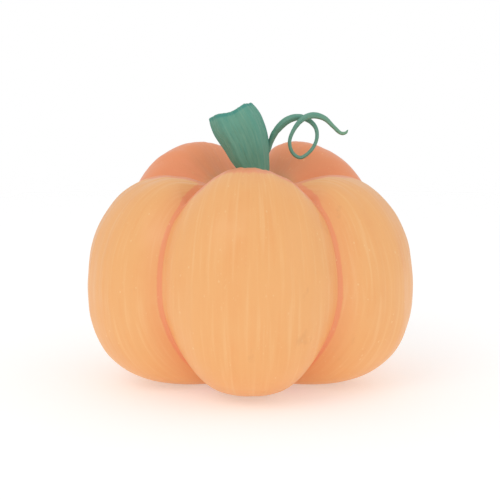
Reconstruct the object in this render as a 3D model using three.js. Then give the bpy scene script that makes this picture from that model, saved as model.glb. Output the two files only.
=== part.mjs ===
/**
 * A ripe pumpkin as picked: a broad fruit of five lobes that rests on a small flat spot, the short
 * ridged stem that it was cut by, and one curled tendril that sprouts from the stem's side.
 *
 * Millimetres, +Z up. The origin is on the fruit's axis, at the centre of the flat spot. The front
 * lobe faces -Y, and the stem leans towards -X.
 */
import {
  CatmullRomCurve3,
  Group,
  LatheGeometry,
  MathUtils,
  Mesh,
  MeshStandardMaterial,
  SplineCurve,
  Vector2,
  Vector3,
} from 'three';

// ---------------------------------------------------------------------------------------------
// Driving dimensions
// ---------------------------------------------------------------------------------------------

// The line down the middle of a lobe, from the flat spot out to the waist and over the shoulder.
// A roundness of 2 is an ellipse, and more is squarer.
const crest = {
  footRadius: 43,
  waistRadius: 130,
  waistHeight: 84,
  shoulderRadius: 66,
  shoulderHeight: 173,
  lowerRoundness: 2.6,
  upperRoundness: 2.05,
};

// The line down the bottom of a furrow between two lobes, in the same terms.
const furrow = {
  footRadius: 17,
  waistRadius: 111.5,
  waistHeight: 86,
  shoulderRadius: 77,
  shoulderHeight: 150,
  lowerRoundness: 1.7,
  upperRoundness: 1.9,
};

// The flat disc at the bottom of the hollow on top, where the stem grew.
const seatRadius = 20;
const seatHeight = 153.4;

// The lobes, starting at the front and going round past +X. No two neighbours are quite alike:
// halfAngle is half of a lobe's share of the full turn, in degrees, and height is its shoulder's
// height as a multiple of the front lobe's.
const frontLobe = { halfAngle: 35.9, height: 1 };
const sideLobe = { halfAngle: 34, height: 0.94 };
const backLobe = { halfAngle: 38.05, height: 1.068 };
const lobes = [frontLobe, sideLobe, backLobe, backLobe, sideLobe];

// How sharply a lobe falls away to its furrows: outwards first, then in height.
const lobeFullness = 2.1;
const lobeHeightFullness = 2.7;

// The stem's centre line, from its foot on the seat to the middle of its cut end.
const stemGap = 0.4;
const stemLine = [
  [2, 0, seatHeight + stemGap],
  [2, 0, 160],
  [2.8, 0, 167.5],
  [-0.5, 0, 179],
  [-5, 0, 192],
  [-14.8, 0, 211.4],
];

// The stem's radius at heights along it: its spread foot, its neck, and its swelling to the cut.
const stemSide = [
  [17.2, 0],
  [12.5, 7],
  [12, 13],
  [16.1, 28],
  [18.9, 45],
  [18.6, 53],
  [17.2, 57.8],
];
const stemRimRadius = 15.8;
const stemRimHeight = 59.3;
const stemDishDepth = 2.2;
const stemRidges = 5;
const stemRidgeDepth = 0.08;
const firstRidgeAngle = 18;

// The cut leaves a horn at each side of the rim, and slopes down to the back and to the right of
// the stem's own lean.
const cutHornRise = 3.5;
const cutHornRoundness = 1.3;
const cutBackSlope = 10;
const cutSideSlope = 6.5;

// The tendril's run from its root, over its first arch, once round its loop, and out to its tip.
const tendrilLine = [
  [15.2, 8.2, 175.5],
  [17, 8.4, 186],
  [20.8, 7, 196],
  [29, 5, 204.2],
  [38, 3.5, 207],
  [46, 2.5, 204.5],
  [51.5, 1.5, 198.5],
  [52.2, 0.5, 190],
  [48, -0.5, 181.5],
  [40, -1.5, 175.8],
  [33.5, -2.2, 179.5],
  [31, -2.8, 188],
  [34, -3.2, 197],
  [40.5, -3.5, 205.3],
  [49, -3.5, 208.6],
  [58, -3.3, 206.3],
  [65, -3, 200],
  [70.5, -2.8, 195.1],
  [74.5, -2.6, 195],
  [76.5, -2.5, 197.5],
];

// The tendril is thin, and swells twice along its run, once on each arch.
const tendrilRadius = 1.4;
const tendrilSwellings = [
  { at: 0.18, spread: 0.12, radius: 1.5 },
  { at: 0.8, spread: 0.085, radius: 1.05 },
];
const tendrilTipShare = 0.06;

// How finely each surface is divided.
const columnsPerLobe = 16;
const lowerRows = 11;
const upperRows = 14;
const hollowRows = 6;
const stemColumns = 40;
const stemRows = 16;
const tendrilSides = 8;
const tendrilRows = 84;

// ---------------------------------------------------------------------------------------------
// Fruit
// ---------------------------------------------------------------------------------------------

/** Points (radius, height) of one meridian, from the centre of the flat spot to the seat's centre. */
function meridian(line) {
  const points = [new Vector2(0, 0)];
  for (let row = 0; row < lowerRows; row += 1) {
    const turn = (row / lowerRows) * (Math.PI / 2);
    const out = Math.sin(turn) ** (2 / line.lowerRoundness);
    const up = 1 - Math.cos(turn) ** (2 / line.lowerRoundness);
    points.push(new Vector2(
      MathUtils.lerp(line.footRadius, line.waistRadius, out),
      line.waistHeight * up,
    ));
  }
  for (let row = 0; row < upperRows; row += 1) {
    const turn = (row / upperRows) * (Math.PI / 2);
    const out = Math.cos(turn) ** (2 / line.upperRoundness);
    const up = Math.sin(turn) ** (2 / line.upperRoundness);
    points.push(new Vector2(
      MathUtils.lerp(line.shoulderRadius, line.waistRadius, out),
      MathUtils.lerp(line.waistHeight, line.shoulderHeight, up),
    ));
  }
  for (let row = 0; row <= hollowRows; row += 1) {
    const inwards = row / hollowRows;
    points.push(new Vector2(
      MathUtils.lerp(line.shoulderRadius, seatRadius, inwards),
      MathUtils.lerp(line.shoulderHeight, seatHeight, easedHollow(inwards)),
    ));
  }
  points.push(new Vector2(0, seatHeight));
  return points;
}

/** The fall from shoulder to seat, as 0 to 1, which starts and ends level. */
function easedHollow(inwards) {
  return (1 - Math.cos(Math.PI * inwards)) / 2;
}

/** A lobe's height factor fades out over the hollow, so that every meridian ends at the seat. */
function heightShare(row) {
  const firstHollowRow = 1 + lowerRows + upperRows;
  const inwards = MathUtils.clamp((row - firstHollowRow) / hollowRows, 0, 1);
  return 1 - easedHollow(inwards);
}

function fruitGeometry() {
  const crestPoints = meridian(crest);
  const furrowPoints = meridian(furrow);
  const rows = crestPoints.length;
  const geometry = new LatheGeometry(crestPoints, columnsPerLobe * lobes.length);
  const position = geometry.attributes.position;
  let azimuth = -lobes[0].halfAngle;
  for (let column = 0; column <= columnsPerLobe * lobes.length; column += 1) {
    const index = Math.floor(column / columnsPerLobe) % lobes.length;
    const lobe = lobes[index];
    const across = ((column % columnsPerLobe) / columnsPerLobe) * 2 - 1;
    const neighbour = lobes[(index + Math.sign(across) + lobes.length) % lobes.length];
    const edgeHeight = (lobe.height + neighbour.height) / 2;
    const height = MathUtils.lerp(lobe.height, edgeHeight, across ** 2);
    const outShare = Math.abs(across) ** lobeFullness;
    const upShare = Math.abs(across) ** lobeHeightFullness;
    const angle = MathUtils.degToRad(azimuth);
    for (let row = 0; row < rows; row += 1) {
      const radius = MathUtils.lerp(crestPoints[row].x, furrowPoints[row].x, outShare);
      const level = MathUtils.lerp(crestPoints[row].y, furrowPoints[row].y, upShare);
      const lift = MathUtils.lerp(1, height, heightShare(row));
      position.setXYZ(
        column * rows + row,
        radius * Math.sin(angle),
        -radius * Math.cos(angle),
        level * lift,
      );
    }
    azimuth += (2 * lobe.halfAngle) / columnsPerLobe;
  }
  return geometry;
}

// ---------------------------------------------------------------------------------------------
// Stem and tendril
// ---------------------------------------------------------------------------------------------

function curveThrough(line) {
  return new CatmullRomCurve3(line.map(([x, y, z]) => new Vector3(x, y, z)));
}

/** A lathed geometry whose axis is turned from +Y to +Z. */
function latheUpright(points, columns) {
  return new LatheGeometry(points, columns).rotateX(Math.PI / 2);
}

/**
 * Bends a geometry that stands straight up from the origin so that its axis follows a curve. The
 * cross-sections keep from twisting, and what is past the curve's end carries on straight.
 */
function bendAlong(geometry, curve, length) {
  const steps = 400;
  const frames = curve.computeFrenetFrames(steps);
  const position = geometry.attributes.position;
  for (let i = 0; i < position.count; i += 1) {
    const local = new Vector3().fromBufferAttribute(position, i);
    const share = MathUtils.clamp(local.z / length, 0, 1);
    const step = Math.min(Math.floor(share * steps), steps - 1);
    const part = share * steps - step;
    const tangent = frames.tangents[step].clone().lerp(frames.tangents[step + 1], part).normalize();
    const side = frames.binormals[step].clone().lerp(frames.binormals[step + 1], part).normalize();
    const back = new Vector3().crossVectors(tangent, side);
    const place = curve.getPointAt(share)
      .addScaledVector(side, local.x)
      .addScaledVector(back, local.y)
      .addScaledVector(tangent, local.z - share * length);
    position.setXYZ(i, place.x, place.y, place.z);
  }
  return geometry;
}

function stemGeometry() {
  const side = new SplineCurve(stemSide.map(([radius, height]) => new Vector2(radius, height)));
  const dish = [
    new Vector2(stemRimRadius, stemRimHeight),
    new Vector2(stemRimRadius * 0.8, stemRimHeight - stemDishDepth / 2),
    new Vector2(stemRimRadius * 0.4, stemRimHeight - stemDishDepth),
    new Vector2(0, stemRimHeight - stemDishDepth),
  ];
  const profile = [new Vector2(0, 0), ...side.getPoints(stemRows), ...dish];
  const geometry = latheUpright(profile, stemColumns);
  const position = geometry.attributes.position;
  for (let i = 0; i < position.count; i += 1) {
    const angle = Math.atan2(position.getY(i), position.getX(i));
    const ridge = Math.cos(stemRidges * (angle - MathUtils.degToRad(firstRidgeAngle)));
    const swell = 1 + stemRidgeDepth * ridge;
    const x = position.getX(i) * swell;
    const y = position.getY(i) * swell;
    const z = position.getZ(i);
    const cut = cutHornRise * Math.abs(x / stemRimRadius) ** cutHornRoundness
      - y * Math.tan(MathUtils.degToRad(cutBackSlope))
      - x * Math.tan(MathUtils.degToRad(cutSideSlope));
    position.setXYZ(i, x, y, z + cut * (z / stemRimHeight) ** 3);
  }
  const curve = curveThrough(stemLine);
  return bendAlong(geometry, curve, curve.getLength());
}

/** The tendril's radius at a share of its run, rounded off at both ends. */
function tendrilRadiusAt(share) {
  const swelling = tendrilSwellings.reduce(
    (sum, { at, spread, radius }) => sum + radius * Math.exp(-(((share - at) / spread) ** 2)),
    0,
  );
  const toTip = MathUtils.clamp((1 - share) / tendrilTipShare, 0, 1);
  return (tendrilRadius + swelling) * Math.sqrt(MathUtils.lerp(0.1, 1, toTip));
}

function tendrilGeometry() {
  const curve = curveThrough(tendrilLine);
  const length = curve.getLength();
  const profile = [new Vector2(0, 0)];
  for (let row = 0; row <= tendrilRows; row += 1) {
    const share = row / tendrilRows;
    profile.push(new Vector2(tendrilRadiusAt(share), share * length));
  }
  profile.push(new Vector2(0, length));
  return bendAlong(latheUpright(profile, tendrilSides), curve, length);
}

// ---------------------------------------------------------------------------------------------
// Assembly
// ---------------------------------------------------------------------------------------------

const rind = new MeshStandardMaterial({ color: 0xf1b376, roughness: 0.55, metalness: 0 });
const stalk = new MeshStandardMaterial({ color: 0x689481, roughness: 0.75, metalness: 0 });
const vine = new MeshStandardMaterial({ color: 0x6d9a86, roughness: 0.65, metalness: 0 });

function piece(name, geometry, material) {
  const mesh = new Mesh(geometry, material);
  mesh.name = name;
  return mesh;
}

const pumpkin = new Group();
pumpkin.add(piece('fruit', fruitGeometry(), rind));
pumpkin.add(piece('stem', stemGeometry(), stalk));
pumpkin.add(piece('tendril', tendrilGeometry(), vine));

export default pumpkin;
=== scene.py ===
import math

import bmesh
import bpy
import numpy as np
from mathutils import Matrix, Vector, noise


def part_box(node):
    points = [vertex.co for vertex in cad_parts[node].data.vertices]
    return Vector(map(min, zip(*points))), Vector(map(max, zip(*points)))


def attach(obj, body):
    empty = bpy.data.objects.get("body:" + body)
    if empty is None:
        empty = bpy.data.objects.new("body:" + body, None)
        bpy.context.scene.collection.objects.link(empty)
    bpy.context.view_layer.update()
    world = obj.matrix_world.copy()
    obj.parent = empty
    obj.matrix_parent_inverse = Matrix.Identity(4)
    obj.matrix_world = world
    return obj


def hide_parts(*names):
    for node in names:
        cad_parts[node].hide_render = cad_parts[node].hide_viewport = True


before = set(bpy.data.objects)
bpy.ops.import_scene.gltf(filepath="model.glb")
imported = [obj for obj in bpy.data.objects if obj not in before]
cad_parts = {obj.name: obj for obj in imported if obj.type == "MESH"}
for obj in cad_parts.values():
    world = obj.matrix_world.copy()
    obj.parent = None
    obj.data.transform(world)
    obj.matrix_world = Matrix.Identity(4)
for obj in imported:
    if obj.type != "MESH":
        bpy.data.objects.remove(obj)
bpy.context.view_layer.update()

# --- Fruit -------------------------------------------------------------------------------------
# One grown berry of five swollen lobes: a thin waxy rind over firm flesh, drawn in at a furrow
# between each two lobes. It has a shallow hollow on top, where the stem grew, and a flat spot
# below that it rests on, round the corky scar that the blossom left.

fruit_low, fruit_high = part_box("fruit")
waist_reach = -fruit_low.y
back_height = 1.068
crown_height = fruit_high.z / back_height

# Each line runs from the flat spot's middle (row 0) to its edge (row 1), up to the waist (row 2),
# over the shoulder (row 3), down to the seat's edge (row 4) and in to the seat's middle (row 5).
crest = {
    "foot": 0.043,
    "waist": waist_reach,
    "waist_height": 0.084,
    "shoulder": 0.066,
    "top": crown_height,
    "lower_roundness": 2.6,
    "upper_roundness": 2.05,
}
furrow = {
    "foot": 0.017,
    "waist": waist_reach - 0.0185,
    "waist_height": 0.086,
    "shoulder": 0.077,
    "top": crown_height - 0.023,
    "lower_roundness": 1.7,
    "upper_roundness": 1.9,
}
last_row = 5
seat_radius = 0.020
seat_height = 0.1534

# Half of each lobe's share of the turn in degrees, and its height against the front lobe's.
front_lobe = (35.9, 1.0)
side_lobe = (34.0, 0.94)
back_lobe = (38.05, back_height)
lobes = [front_lobe, side_lobe, back_lobe, back_lobe, side_lobe]

# How full a lobe's side and its top are between crest and furrow, and how blunt the furrow is.
lobe_fullness = 2.1
lobe_height_fullness = 2.7
furrow_softness = 0.035

# Where the painted shade of the hollow, a deeper orange, begins: degrees round from the front, and
# the row.
hollow_shade_edge = [
    (0, 2.86),
    (14, 2.87),
    (20, 2.82),
    (30, 2.69),
    (36, 2.58),
    (38, 2.84),
    (43, 3.06),
    (50, 3.36),
    (53, 3.40),
    (57, 3.22),
    (60, 3.05),
    (76, 2.88),
    (94, 2.75),
    (104, 2.20),
    (113, 2.28),
    (120, 2.50),
    (136, 2.80),
    (180, 2.90),
]

# The rind's unevenness: the depth of each kind in metres, then how often it repeats, for swells
# per metre and for the rest round the fruit and from row to row.
broad_swells = (0.0012, 22)
small_swells = (0.0006, 55)
rind_ribs = (0.0011, 7.5, 0.5)
rind_wrinkles = (0.0005, 24, 1.3)
wrinkles_lost_in_furrow = 0.5
seat_puckers = (0.0012, 6, 0.8)

# The blossom's scar, in the middle of the flat spot: a shallow hollow with a raised rim.
scar_depth = 0.0022
scar_rim = 0.0006

# The rows where an unevenness begins, is full, begins to fade and is gone.
uneven_rows = (1.02, 1.5, 3.3, 3.9)
pucker_rows = (3.35, 3.8, 4.0, 4.3)
scar_rim_rows = (0.20, 0.24, 0.24, 0.30)

# How strongly a lobe's columns crowd towards its furrows, which need them most.
lobe_crowding = 0.55
columns_per_lobe = 84
meridian_rows = 200


def lerp(start, end, share):
    return start + (end - start) * share


def smooth(low, high, value):
    """0 below low and 1 above high, eased between them."""
    share = min(max((value - low) / (high - low), 0.0), 1.0)
    return share * share * (3 - 2 * share)


def within(rows, row):
    """0 outside the outer two of four rows and 1 between the inner two, eased between them."""
    begin, full, fading, end = rows
    return smooth(begin, full, row) * (1 - smooth(fading, end, row))


def meridian(line, row):
    """Radius and height on a crest's or furrow's line at a row."""
    if row < 1:
        return line["foot"] * row, 0.0
    if row < 2:
        turn = (row - 1) * math.pi / 2
        out = math.sin(turn) ** (2 / line["lower_roundness"])
        up = 1 - math.cos(turn) ** (2 / line["lower_roundness"])
        return lerp(line["foot"], line["waist"], out), line["waist_height"] * up
    if row < 3:
        turn = (row - 2) * math.pi / 2
        out = math.cos(turn) ** (2 / line["upper_roundness"])
        up = math.sin(turn) ** (2 / line["upper_roundness"])
        radius = lerp(line["shoulder"], line["waist"], out)
        return radius, lerp(line["waist_height"], line["top"], up)
    inwards = min(row - 3, 1.0)
    fall = (1 - math.cos(math.pi * inwards)) / 2
    radius = lerp(line["shoulder"], seat_radius, inwards)
    return radius * min(last_row - row, 1.0), lerp(line["top"], seat_height, fall)


def even_rows(count):
    """Rows that divide the crest's line into equal lengths, and that line's whole length."""
    fine_count = 4001
    rows = np.linspace(0, last_row, fine_count)
    line = np.array([meridian(crest, row) for row in rows])
    steps = np.hypot(*np.diff(line, axis=0).T)
    lengths = np.concatenate([[0.0], np.cumsum(steps)])
    return np.interp(np.linspace(0, lengths[-1], count), lengths, rows), lengths[-1]


def wrapped_skin(name, columns, rows, place, marks):
    """A closed skin: a grid wrapped round an axis. place(turn, rise) gives the point for two shares
    from 0 to 1 and the values of its marks, which are kept as attributes for the material."""
    bm = bmesh.new()
    bmesh.ops.create_grid(bm, x_segments=columns, y_segments=rows, size=0.5)
    layers = [bm.verts.layers.float_vector.new(mark) for mark in marks]
    for vert in bm.verts:
        vert.co, *values = place(vert.co.x + 0.5, vert.co.y + 0.5)
        for layer, value in zip(layers, values):
            vert[layer] = value
    bmesh.ops.remove_doubles(bm, verts=bm.verts[:], dist=1e-6)
    bmesh.ops.recalc_face_normals(bm, faces=bm.faces[:])
    for face in bm.faces:
        face.smooth = True
    mesh = bpy.data.meshes.new(name)
    bm.to_mesh(mesh)
    bm.free()
    piece = bpy.data.objects.new(name, mesh)
    bpy.context.scene.collection.objects.link(piece)
    return piece


fruit_rows, meridian_length = even_rows(meridian_rows)


def swell(point, depth, per_metre):
    """Unevenness that repeats the same in every direction."""
    return depth * noise.noise(point * per_metre)


def rib(direction, row, depth, times_round, times_per_row):
    """Unevenness that runs on from row to row."""
    spot = Vector((direction.x * times_round, direction.y * times_round, row * times_per_row))
    return depth * noise.noise(spot)


def rind_relief(direction, point, row, nearness):
    """How far the rind stands proud of its plain form, in metres."""
    relief = swell(point, *broad_swells) + swell(point, *small_swells)
    relief += rib(direction, row, *rind_ribs)
    relief += rib(direction, row, *rind_wrinkles) * (1 - wrinkles_lost_in_furrow * nearness)
    puckers = rib(direction, row, *seat_puckers)
    return within(uneven_rows, row) * relief + within(pucker_rows, row) * puckers


def lobe_at(turn):
    """Where a share of the turn falls: its azimuth, half its lobe's angle, the lobe's height and
    that of the furrow beside it, and how far across, from -1 to 1 with the crest at 0."""
    index = min(int(turn * len(lobes)), len(lobes) - 1)
    half_angle, height = lobes[index]
    step = 2 * (turn * len(lobes) - index) - 1
    across = lerp(step, math.sin(step * math.pi / 2), lobe_crowding)
    start = -lobes[0][0] + sum(2 * lobe[0] for lobe in lobes[:index])
    azimuth = math.radians(start + half_angle * (1 + across))
    neighbour = lobes[(index + (1 if across > 0 else -1)) % len(lobes)]
    return azimuth, half_angle, height, (height + neighbour[1]) / 2, across


def fruit_place(turn, rise):
    """A point of the rind, with its grain coordinates and its zone: distance from the furrow, row,
    and rows past the edge of the hollow's painted shade."""
    row = float(np.interp(rise * (meridian_rows - 1), range(meridian_rows), fruit_rows))
    azimuth, half_angle, height, edge_height, across = lobe_at(turn)
    gap = 1 - abs(across)
    softened = math.hypot(gap, furrow_softness) - furrow_softness
    nearness = 1 - softened / (math.hypot(1, furrow_softness) - furrow_softness)

    crest_radius, crest_level = meridian(crest, row)
    furrow_radius, furrow_level = meridian(furrow, row)
    radius = lerp(crest_radius, furrow_radius, nearness**lobe_fullness)
    level = lerp(crest_level, furrow_level, nearness**lobe_height_fullness)
    # Each lobe has its own height as far in as its shoulder, and all meet at one seat.
    own_height = (1 + math.cos(math.pi * min(max(row - 3, 0.0), 1.0))) / 2
    level *= lerp(1.0, lerp(height, edge_height, across**2), own_height)
    direction = Vector((math.sin(azimuth), -math.cos(azimuth), 0.0))
    point = direction * radius + Vector((0.0, 0.0, level))

    # Unevenness stands out sideways at the waist, and upwards on top.
    relief = rind_relief(direction, point, row, nearness)
    lean = math.sin(min(max(row - 1, 0.0), 2.0) * math.pi / 2)
    point += direction * relief * lean
    point.z += relief * (1 - lean) if row > 1 else 0.0
    scar_hollow = scar_depth * (1 - smooth(0.0, scar_rim_rows[1], row))
    point.z = max(point.z, 0.0) + scar_hollow + scar_rim * within(scar_rim_rows, row)

    from_furrow = gap * math.radians(half_angle) * radius
    from_front = abs((math.degrees(azimuth) + 180) % 360 - 180)
    past_shade_edge = row - float(np.interp(from_front, *zip(*hollow_shade_edge)))
    grain = (direction.x * waist_reach, direction.y * waist_reach, rise * meridian_length)
    return point, grain, (from_furrow, row, past_shade_edge)


fruit = wrapped_skin(
    "pumpkin_fruit",
    columns_per_lobe * len(lobes),
    meridian_rows - 1,
    fruit_place,
    ["grain", "zone"],
)


class Wire:
    """A socket in a material's nodes. Arithmetic on it adds Math nodes."""

    def __init__(self, tree, socket=None):
        self.tree = tree
        self.socket = socket

    def node(self, kind, settings, inputs, output=0):
        """Adds any node from its type, its settings, and its sockets' values or links."""
        made = self.tree.nodes.new("ShaderNode" + kind)
        for setting, value in settings.items():
            setattr(made, setting, value)
        for name, value in inputs.items():
            if isinstance(value, Wire):
                self.tree.links.new(value.socket, made.inputs[name])
            else:
                made.inputs[name].default_value = value
        return Wire(self.tree, made.outputs[output])

    def math(self, operation, *values):
        return self.node("Math", {"operation": operation}, dict(enumerate(values)))

    def __add__(self, other):
        return self.math("ADD", self, other)

    def __sub__(self, other):
        return self.math("SUBTRACT", self, other)

    def __rsub__(self, other):
        return self.math("SUBTRACT", other, self)

    def __mul__(self, other):
        return self.math("MULTIPLY", self, other)

    __radd__ = __add__
    __rmul__ = __mul__

    def larger(self, other):
        return self.math("MAXIMUM", self, other)

    def wave(self):
        """A ripple between 0 and 1, one for each 2 pi."""
        return self.math("SINE", self) * 0.5 + 0.5

    def rise(self, low, high):
        """0 below low and 1 above high, eased between them."""
        settings = {"interpolation_type": "SMOOTHSTEP"}
        return self.node("MapRange", settings, {"Value": self, "From Min": low, "From Max": high})

    def mix(self, plain, changed):
        """The plain colour where this is 0, and the changed colour where it is 1."""
        return self.node("Mix", {"data_type": "RGBA"}, {0: self, 6: plain, 7: changed}, 2)

    def stretched(self, x, y, z):
        """This vector with each coordinate scaled."""
        return self.node("VectorMath", {"operation": "MULTIPLY"}, {0: self, 1: (x, y, z)})

    def noise(self, scale, detail):
        return self.node("TexNoise", {}, {"Vector": self, "Scale": scale, "Detail": detail})


def srgb(red, green, blue):
    """A colour given in sRGB, 0 to 255, as linear values for a shader."""
    channels = [value / 255 for value in (red, green, blue)]
    linear = [((c + 0.055) / 1.055) ** 2.4 if c > 0.04045 else c / 12.92 for c in channels]
    return (*linear, 1.0)


def new_finish(name, constants):
    """A material, its Principled shader with constant values set, and a wire to start from."""
    material = bpy.data.materials.new(name)
    material.use_nodes = True
    shader = material.node_tree.nodes["Principled BSDF"]
    for socket, value in constants.items():
        shader.inputs[socket].default_value = value
    return material, shader, Wire(material.node_tree)


def feed(wire, shader, socket):
    wire.tree.links.new(wire.socket, shader.inputs[socket])


def marks_of(start, name):
    """The three values of a mesh mark, and the mark as a vector."""
    vector = start.node("Attribute", {"attribute_name": name}, {}, "Vector")
    parts = start.node("SeparateXYZ", {}, {"Vector": vector})
    outputs = parts.socket.node.outputs
    return vector, [Wire(start.tree, outputs[axis]) for axis in ("X", "Y", "Z")]


rind_peach = srgb(242, 177, 111)
# The next, deeper orange paints shade in the furrows and over the hollow round the stem.
rind_shade_orange = srgb(240, 151, 102)
rind_warm = srgb(239, 164, 97)
rind_pale = srgb(250, 203, 145)
rind_green = srgb(176, 158, 98)
rind_rub = srgb(224, 160, 104)
scar_cork = srgb(196, 154, 112)

rind, rind_shader, start = new_finish(
    "waxy_rind", {"Specular IOR Level": 0.45, "Coat Weight": 0.15, "Coat Roughness": 0.28}
)
rind_grain, _ = marks_of(start, "grain")
_, (from_furrow, row_mark, past_shade_edge) = marks_of(start, "zone")

# The rind's patterns, most of them drawn out along the fruit: painted shade as deep orange lines in
# the furrows, a soft deeper band beside them and a deep orange hollow round the stem with a
# streaked edge; then warm and pale streaks, pale breathing dots, rubs and the scar's cork.
wander = rind_grain.noise(70, 2)
edge_wander = (rind_grain.noise(260, 2) - 0.5) * 0.0010
# Painted shade along each furrow: a deep orange line, and a soft darker band either side of it.
furrow_shade_line = 1 - (from_furrow + edge_wander).rise(0.0018, 0.0034)
furrow_shade_halo = (1 - from_furrow.rise(0.002, 0.020)) * 0.25
streaks = rind_grain.stretched(1, 1, 0.045).noise(330, 3)
broad_streaks = rind_grain.stretched(1, 1, 0.09).noise(75, 2)
mottle = rind_grain.noise(38, 4)
flames = (streaks + broad_streaks * 1.4 - 1.2) * 0.06
# Painted shade over the hollow round the stem, from the edge in the table above, with streaked
# flames at its edge.
hollow_shade = (past_shade_edge + flames).rise(-0.03, 0.03)
painted_shade = furrow_shade_line.larger(furrow_shade_halo).larger(hollow_shade)
warm = streaks.rise(0.45, 0.75) * 0.35 + broad_streaks.rise(0.45, 0.7) * 0.4
warm = warm * mottle.rise(0.3, 0.7)
pale_streaks = (1 - streaks.rise(0.28, 0.48)) * 0.25

spread_grain = rind_grain.stretched(1, 1, 0.7)
large_dots = start.node("TexVoronoi", {"feature": "F1"}, {"Vector": spread_grain, "Scale": 150})
small_dots = start.node("TexVoronoi", {"feature": "F1"}, {"Vector": spread_grain, "Scale": 330})
lenticels = (1 - large_dots.rise(0.06, 0.14)) * wander.rise(0.40, 0.60)
lenticels = lenticels.larger((1 - small_dots.rise(0.08, 0.20)) * mottle.rise(0.45, 0.65) * 0.6)
rubs = rind_grain.stretched(1, 1, 0.6).noise(52, 6).rise(0.66, 0.74) * 0.4

tinge = row_mark.rise(3.55, 4.0) * 0.75
cork = 1 - (row_mark + (wander - 0.5) * 0.1).rise(0.22, 0.32)

rind_colour = warm.mix(rind_peach, rind_warm)
rind_colour = pale_streaks.mix(rind_colour, rind_pale)
# Painted shade: deeper orange in the furrows and over the hollow round the stem.
rind_colour = painted_shade.mix(rind_colour, rind_shade_orange)
rind_colour = (lenticels * 0.6).mix(rind_colour, rind_pale)
rind_colour = rubs.mix(rind_colour, rind_rub)
rind_colour = tinge.mix(rind_colour, rind_green)
rind_colour = cork.mix(rind_colour, scar_cork)
feed(rind_colour, rind_shader, "Base Color")

rind_roughness = mottle * 0.16 + 0.36 + cork.larger(rubs) * 0.35 + lenticels * 0.1
feed(rind_roughness, rind_shader, "Roughness")

pores = rind_grain.noise(900, 2)
peel = rind_grain.noise(190, 3)
rind_height = streaks * 0.35 + peel * 0.35 + pores * 0.15 + lenticels * 0.25 + cork * pores
rind_bump = start.node("Bump", {}, {"Strength": 0.5, "Distance": 0.0006, "Height": rind_height})
feed(rind_bump, rind_shader, "Normal")

fruit.data.materials.append(rind)
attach(fruit, "root")
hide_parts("fruit")

# --- Stem --------------------------------------------------------------------------------------
# The woody green stalk that the fruit hung by, cut through above the fruit. Five ridges run up it
# from the feet that grip the seat, with fibrous grooves between them, and its cut end is dished
# and corky, drawn up into a horn at each side.

stem_low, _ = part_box("stem")
stem_sink = 0.0012

# The line that the stem's axis follows, from the seat up to the middle of the cut.
stem_line = [
    (0.0020, 0, stem_low.z - stem_sink),
    (0.0020, 0, 0.1600),
    (0.0028, 0, 0.1675),
    (-0.0005, 0, 0.1790),
    (-0.0050, 0, 0.1920),
    (-0.0148, 0, 0.2114),
]

# Radius and height up the side, from the spread foot over the neck to the cut rim.
stem_side = [
    (0.0176, 0.0),
    (0.0152, 0.0035),
    (0.0126, 0.0085),
    (0.0121, 0.0145),
    (0.0161, 0.0292),
    (0.0189, 0.0462),
    (0.0186, 0.0542),
    (0.0174, 0.0588),
]
rim_radius = 0.0160
rim_height = 0.0602

# The ridges swell the stem by these shares of its radius, and by more at the foot, where they grip.
ridge_count = 5
ridge_angle = math.radians(16)
ridge_twist = math.radians(4)
ridge_swell = 0.085
ridge_sharpness = 0.38
foot_swell = 0.11
foot_height = 0.010

# Grooves and fibres between the ridges: their shares of the radius, and how often fibres wander
# round the stem and per metre of its height.
groove_swell = 0.012
fine_groove_swell = 0.006
fibre_swell = 0.018
fine_fibre_swell = 0.008
fibres_round = 9
fibres_per_metre = 40
fine_fibre_rate = 2.7

# The cut rises to a horn at each side, and slopes down to the back and to the right.
horn_rise = 0.0035
horn_roundness = 1.3
cut_back_slope = math.tan(math.radians(10))
cut_side_slope = math.tan(math.radians(6.5))
dish_depth = 0.0030
pith_depth = 0.0014
ragged_depth = 0.0004
ragged_per_metre = 420

# Shares of the skin's run: to the foot's edge, to the cut's edge, and of the cut that is its lip.
foot_share = 0.04
cut_share = 0.80
lip_share = 0.12
stem_columns = 200
stem_rows = 170
stem_station_count = 1200


def spline(points, share):
    """The point at a share of the way along a smooth line through the points."""
    spans = len(points) - 1
    span = min(int(share * spans), spans - 1)
    t = share * spans - span
    here = Vector(points[span])
    there = Vector(points[span + 1])
    before = Vector(points[span - 1]) if span > 0 else here * 2 - there
    after = Vector(points[span + 2]) if span + 2 <= spans else there * 2 - here
    bend = before * (2 * t**2 - t**3 - t) + here * (3 * t**3 - 5 * t**2 + 2)
    bend += there * (4 * t**2 - 3 * t**3 + t) + after * (t**3 - t**2)
    return bend / 2


def stations(points, count):
    """Evenly spaced places along a smooth line: each with its sideways, backwards and onwards
    directions, which turn with the line and never twist about it, and the line's length."""
    fine_steps = 3000
    fine = [spline(points, i / fine_steps) for i in range(fine_steps + 1)]
    steps = [(b - a).length for a, b in zip(fine, fine[1:])]
    lengths = np.concatenate([[0.0], np.cumsum(steps)])
    wanted = np.linspace(0, lengths[-1], count)
    places = [Vector(c) for c in zip(*[np.interp(wanted, lengths, axis) for axis in zip(*fine)])]
    made = []
    side = Vector((1.0, 0.0, 0.0))
    for i, place in enumerate(places):
        ahead = places[min(i + 1, count - 1)] - places[max(i - 1, 0)]
        onward = ahead.normalized()
        side = (side - onward * side.dot(onward)).normalized()
        made.append((place, side, onward.cross(side), onward))
    return made, float(lengths[-1])


def bent(line, length, local):
    """Where a point of a straight upright form goes when its axis is bent along the line."""
    last = len(line) - 1
    nearest = round(min(max(local.z / length, 0.0), 1.0) * last)
    place, side, back, onward = line[nearest]
    beyond = local.z - nearest / last * length
    return place + side * local.x + back * local.y + onward * beyond


stem_stations, stem_length = stations(stem_line, stem_station_count)


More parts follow.
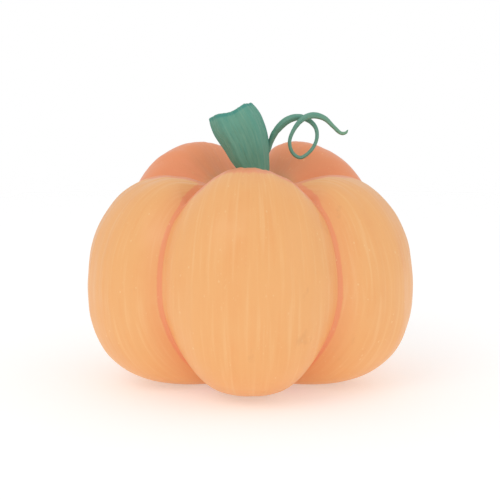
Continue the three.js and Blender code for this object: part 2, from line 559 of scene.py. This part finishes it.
def stem_outline(rise):
    """The stem's plain radius and height at a share of its skin's run, and the zone there: 0 to 1
    up the side and 1 to 2 in over the cut."""
    if rise < foot_share:
        return stem_side[0][0] * rise / foot_share, 0.0, 0.0
    if rise < cut_share:
        zone = (rise - foot_share) / (cut_share - foot_share)
        return (*spline(stem_side, zone), zone)
    inwards = (rise - cut_share) / (1 - cut_share)
    if inwards > lip_share:
        towards_middle = (inwards - lip_share) / (1 - lip_share)
        height = rim_height - dish_depth * smooth(0.0, 0.55, towards_middle)
        height -= pith_depth * smooth(0.80, 0.92, towards_middle)
        return rim_radius * (1 - towards_middle), height, 1 + inwards
    lip = inwards / lip_share * math.pi / 2
    side_radius, side_height = stem_side[-1]
    radius = lerp(side_radius, rim_radius, 1 - math.cos(lip))
    return radius, lerp(side_height, rim_height, math.sin(lip)), 1 + inwards


def stem_place(turn, rise):
    """A point of the stem, with its grain coordinates and its zone: how far up the side or in over
    the cut, how much of a ridge it is, raised to full on the stem's left and right sides as painted
    shade, and the distance from the axis."""
    angle = 2 * math.pi * turn
    radius, height, zone = stem_outline(rise)
    twist = ridge_twist * height / rim_height
    wave = math.cos(ridge_count * (angle - ridge_angle - twist))
    ridge = lerp(wave, ((wave + 1) / 2) ** 3 * 2 - 1, ridge_sharpness)
    grip = 1 - smooth(0.0, foot_height, height)
    grooves = groove_swell * math.cos(3 * ridge_count * (angle - twist) + 0.6)
    grooves += fine_groove_swell * math.cos(7 * ridge_count * (angle - twist))
    direction = Vector((math.cos(angle), math.sin(angle), 0.0))
    spot = Vector(
        (direction.x * fibres_round, direction.y * fibres_round, height * fibres_per_metre)
    )
    fibres = fibre_swell * noise.noise(spot)
    fibres += fine_fibre_swell * noise.noise(spot * fine_fibre_rate)
    on_skin = min(radius / rim_radius, 1.0)
    radius *= 1 + (ridge_swell + foot_swell * grip) * ridge + (grooves + fibres) * on_skin
    x, y = direction.x * radius, direction.y * radius
    cut = horn_rise * abs(x / rim_radius) ** horn_roundness
    cut -= y * cut_back_slope + x * cut_side_slope
    ragged = ragged_depth * noise.noise(Vector((x, y, 0.0)) * ragged_per_metre)
    ragged *= smooth(1.0, 1.1, zone)
    local = Vector((x, y, height + cut * (height / rim_height) ** 3 + ragged))
    grain = (direction.x * rim_radius, direction.y * rim_radius, height)
    # Painted shade: the ridges at the stem's left and right sides are marked full, so that they
    # turn wholly teal.
    side_shade = smooth(0.80, 0.94, abs(direction.x))
    ridge_and_side_shade = lerp(0.35 * ridge, 1.0, ridge * side_shade)
    return bent(stem_stations, stem_length, local), grain, (zone, ridge_and_side_shade, radius)


stem = wrapped_skin("pumpkin_stem", stem_columns, stem_rows, stem_place, ["grain", "zone"])

stalk_sage = srgb(103, 162, 142)
# The teal also paints shade on the ridges at the stem's left and right sides.
stalk_teal_and_shade = srgb(74, 148, 135)
stalk_pale = srgb(136, 180, 156)
stalk_olive = srgb(140, 152, 104)
cut_cream = srgb(196, 190, 150)
cut_brown = srgb(150, 132, 98)

stalk, stalk_shader, start = new_finish("ridged_stalk", {"Specular IOR Level": 0.35})
stalk_grain, _ = marks_of(start, "grain")
_, (stem_zone, ridge_and_side_shade_mark, stem_radius) = marks_of(start, "zone")

# The stalk's patterns: teal on the ridges, with the ridges at the stem's left and right sides made
# fully teal as painted shade, and teal round the rim, pale fibres, an olive foot, and on the cut
# faint rings, a circle of fibre bundles and the pith.
fibre = stalk_grain.stretched(1, 1, 0.10).noise(900, 3)
broad_fibre = stalk_grain.stretched(1, 1, 0.2).noise(260, 2)
blotch = stalk_grain.noise(120, 3)
ridge_top_and_side_shade = ridge_and_side_shade_mark.rise(0.15, 0.75)
rim = stem_zone.rise(0.93, 0.985) * (1 - stem_zone.rise(1.03, 1.12))
teal_and_side_shade = ridge_top_and_side_shade.larger(rim).larger(fibre.rise(0.5, 0.7) * 0.45)
pale = (1 - fibre.rise(0.3, 0.46)) * 0.30 + (1 - broad_fibre.rise(0.3, 0.5)) * 0.15
foot = (1 - stem_zone.rise(0.03, 0.30)) * (blotch.rise(0.3, 0.7) * 0.5 + 0.5) * 0.7
cut_face = stem_zone.rise(1.06, 1.16)
rings = (stem_radius * 2600 + blotch * 9).wave()
bundles = start.node("TexVoronoi", {"feature": "F1"}, {"Vector": stalk_grain, "Scale": 420})
bundle_ring = stem_radius.rise(0.0085, 0.0100) * (1 - stem_radius.rise(0.0125, 0.0140))
bundle_dots = (1 - bundles.rise(0.18, 0.34)) * bundle_ring
pith = 1 - stem_radius.rise(0.0018, 0.0034)

stalk_colour = teal_and_side_shade.mix(stalk_sage, stalk_teal_and_shade)
stalk_colour = pale.mix(stalk_colour, stalk_pale)
stalk_colour = foot.mix(stalk_colour, stalk_olive)
cut_colour = (rings * 0.18 + blotch * 0.35).mix(cut_cream, cut_brown)
cut_colour = bundle_dots.larger(pith * 0.8).mix(cut_colour, stalk_olive)
stalk_colour = cut_face.mix(stalk_colour, cut_colour)
feed(stalk_colour, stalk_shader, "Base Color")
feed(blotch * 0.2 + 0.58 + cut_face * 0.15, stalk_shader, "Roughness")
stalk_height = fibre * 0.6 + broad_fibre * 0.4 + blotch * 0.15 + bundle_dots * cut_face * -0.6
stalk_bump = start.node("Bump", {}, {"Strength": 0.7, "Distance": 0.0009, "Height": stalk_height})
feed(stalk_bump, stalk_shader, "Normal")

stem.data.materials.append(stalk)
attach(stem, "root")
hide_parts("stem")

# --- Tendril -----------------------------------------------------------------------------------
# A springy green shoot, round and finely grooved, that the vine climbs with. It sprouts from a
# swollen collar on the stem's side, arches over, curls once round, and arches out to its tip.

tendril_line = [
    (0.0098, 0.0060, 0.1760),
    (0.0140, 0.0082, 0.1812),
    (0.0166, 0.0082, 0.1882),
    (0.0206, 0.0068, 0.1960),
    (0.0287, 0.0050, 0.2040),
    (0.0380, 0.0035, 0.2070),
    (0.0460, 0.0025, 0.2045),
    (0.0515, 0.0015, 0.1985),
    (0.0522, 0.0005, 0.1900),
    (0.0480, -0.0005, 0.1815),
    (0.0400, -0.0015, 0.1758),
    (0.0335, -0.0022, 0.1795),
    (0.0310, -0.0028, 0.1880),
    (0.0340, -0.0032, 0.1970),
    (0.0405, -0.0035, 0.2053),
    (0.0490, -0.0035, 0.2086),
    (0.0580, -0.0033, 0.2063),
    (0.0650, -0.0030, 0.2000),
    (0.0705, -0.0028, 0.1951),
    (0.0745, -0.0026, 0.1950),
    (0.0765, -0.0025, 0.1975),
]
tendril_radius = 0.0014

# Where it swells, as shares of its run, with how far each swelling spreads and how much it adds.
tendril_swellings = [(0.0, 0.05, 0.0011), (0.19, 0.12, 0.0016), (0.80, 0.085, 0.0011)]
tip_share = 0.035
tip_thinning = 0.25

# Grooves and unevenness, as shares of the radius. The grooves wind round it along its run.
tendril_groove_count = 5
tendril_groove_depth = 0.05
tendril_groove_winding = 9
tendril_unevenness = 0.08
tendril_bumps = 40
tendril_grain_radius = 0.002
tendril_columns = 24
tendril_rows = 420
tendril_station_count = 3000

tendril_stations, tendril_length = stations(tendril_line, tendril_station_count)


def tendril_place(turn, rise):
    """A point of the tendril, with its grain coordinates and the share of its run."""
    angle = 2 * math.pi * turn
    radius = tendril_radius
    for at, spread, added in tendril_swellings:
        radius += added * math.exp(-(((rise - at) / spread) ** 2))
    to_tip = min((1 - rise) / tip_share, 1.0)
    radius *= math.sqrt(max(1 - (1 - to_tip) ** 2, 0.0)) * (1 - tip_thinning * (1 - to_tip))
    winding = tendril_groove_count * angle + rise * tendril_groove_winding
    radius *= 1 + tendril_groove_depth * math.cos(winding)
    radius *= 1 + tendril_unevenness * noise.noise(Vector((rise * tendril_bumps, 3.1, 0.0)))
    if rise == 0:
        radius = 0.0
    direction = Vector((math.cos(angle), math.sin(angle), 0.0))
    local = Vector((direction.x * radius, direction.y * radius, rise * tendril_length))
    grain = (direction.x * tendril_grain_radius, direction.y * tendril_grain_radius, local.z)
    return bent(tendril_stations, tendril_length, local), grain, (rise, 0.0, 0.0)


tendril = wrapped_skin(
    "pumpkin_tendril", tendril_columns, tendril_rows, tendril_place, ["grain", "zone"]
)

vine_sage = srgb(106, 158, 138)
vine_teal = srgb(84, 148, 132)
vine_young = srgb(134, 172, 132)

vine, vine_shader, start = new_finish("tendril_skin", {"Specular IOR Level": 0.4})
vine_grain, _ = marks_of(start, "grain")
_, (run, _, _) = marks_of(start, "zone")
vine_fibre = vine_grain.stretched(1, 1, 0.06).noise(1500, 2)
vine_blotch = vine_grain.noise(220, 2)
vine_colour = (vine_fibre.rise(0.45, 0.7) * 0.8).mix(vine_sage, vine_teal)
vine_colour = (run.rise(0.75, 1.0) * 0.4 + vine_blotch.rise(0.55, 0.8) * 0.25).mix(
    vine_colour, vine_young
)
feed(vine_colour, vine_shader, "Base Color")
feed(vine_blotch * 0.2 + 0.45, vine_shader, "Roughness")
vine_bump = start.node("Bump", {}, {"Strength": 0.6, "Distance": 0.0003, "Height": vine_fibre})
feed(vine_bump, vine_shader, "Normal")

tendril.data.materials.append(vine)
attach(tendril, "root")
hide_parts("tendril")

# --- Studio ------------------------------------------------------------------------------------
# A plain pale floor and a bright, even room: one broad soft light from the front left gives the
# form, and a weaker one from the right keeps the shaded side open.

white = (1.0, 1.0, 1.0, 1.0)
pale_grey = (0.8, 0.8, 0.8, 1.0)
floor_radius = 5.0
floor_drop = 0.0003
fade_start = 0.35
fade_end = 2.2
room_strength = 0.81

bm = bmesh.new()
bmesh.ops.create_circle(bm, cap_ends=True, segments=96, radius=floor_radius)
bmesh.ops.translate(bm, verts=bm.verts[:], vec=(0.0, 0.0, -floor_drop))
floor_mesh = bpy.data.meshes.new("floor")
bm.to_mesh(floor_mesh)
bm.free()
floor = bpy.data.objects.new("floor", floor_mesh)
bpy.context.scene.collection.objects.link(floor)

# The floor fades into the room well away from the fruit, so that no edge or horizon shows.
floor_finish, floor_shader, start = new_finish(
    "pale_floor",
    {
        "Base Color": pale_grey,
        "Roughness": 0.9,
        "Emission Color": white,
        "Emission Strength": 0.32,
    },
)
floor_place = start.node("TexCoord", {}, {}, "Object")
from_middle = start.node("VectorMath", {"operation": "LENGTH"}, {0: floor_place}, "Value")
feed(1 - from_middle.rise(fade_start, fade_end), floor_shader, "Alpha")
floor.data.materials.append(floor_finish)

# The room looks pure white, and lights the fruit a little less than it looks.
room = bpy.data.worlds.new("pale_room")
room.use_nodes = True
room_light = room.node_tree.nodes["Background"]
room_light.inputs["Color"].default_value = white
seen_directly = Wire(room.node_tree).node("LightPath", {}, {}, "Is Camera Ray")
feed(seen_directly * (1 - room_strength) + room_strength, room_light, "Strength")
bpy.context.scene.world = room


def soft_light(name, place, size, power):
    """A square area light at a place, aimed at the middle of the fruit."""
    light = bpy.data.lights.new(name, "AREA")
    light.size = size
    light.energy = power
    lamp = bpy.data.objects.new(name, light)
    lamp.location = place
    aim = Vector((0.0, 0.0, crown_height / 2)) - lamp.location
    lamp.rotation_euler = aim.to_track_quat("-Z", "Y").to_euler()
    bpy.context.scene.collection.objects.link(lamp)


soft_light("key_light", place=Vector((-0.9, -1.3, 1.5)), size=1.0, power=5.6)
soft_light("fill_light", place=Vector((1.5, -1.0, 0.8)), size=1.4, power=1.8)

camera_distance = 0.975
camera_elevation = math.radians(9.8)
target = Vector((0.0, 0.0, 0.076))
view = bpy.data.cameras.new("camera")
view.lens = 87.8
view.sensor_width = 36
view.shift_y = 0.065
view.clip_start = 0.05
camera = bpy.data.objects.new("camera", view)
camera.location = target + camera_distance * Vector(
    (0.0, -math.cos(camera_elevation), math.sin(camera_elevation))
)
camera.rotation_euler = (target - camera.location).to_track_quat("-Z", "Y").to_euler()
bpy.context.scene.collection.objects.link(camera)
bpy.context.scene.camera = camera
bpy.context.scene.view_settings.view_transform = "Standard"

bpy.context.view_layer.update()
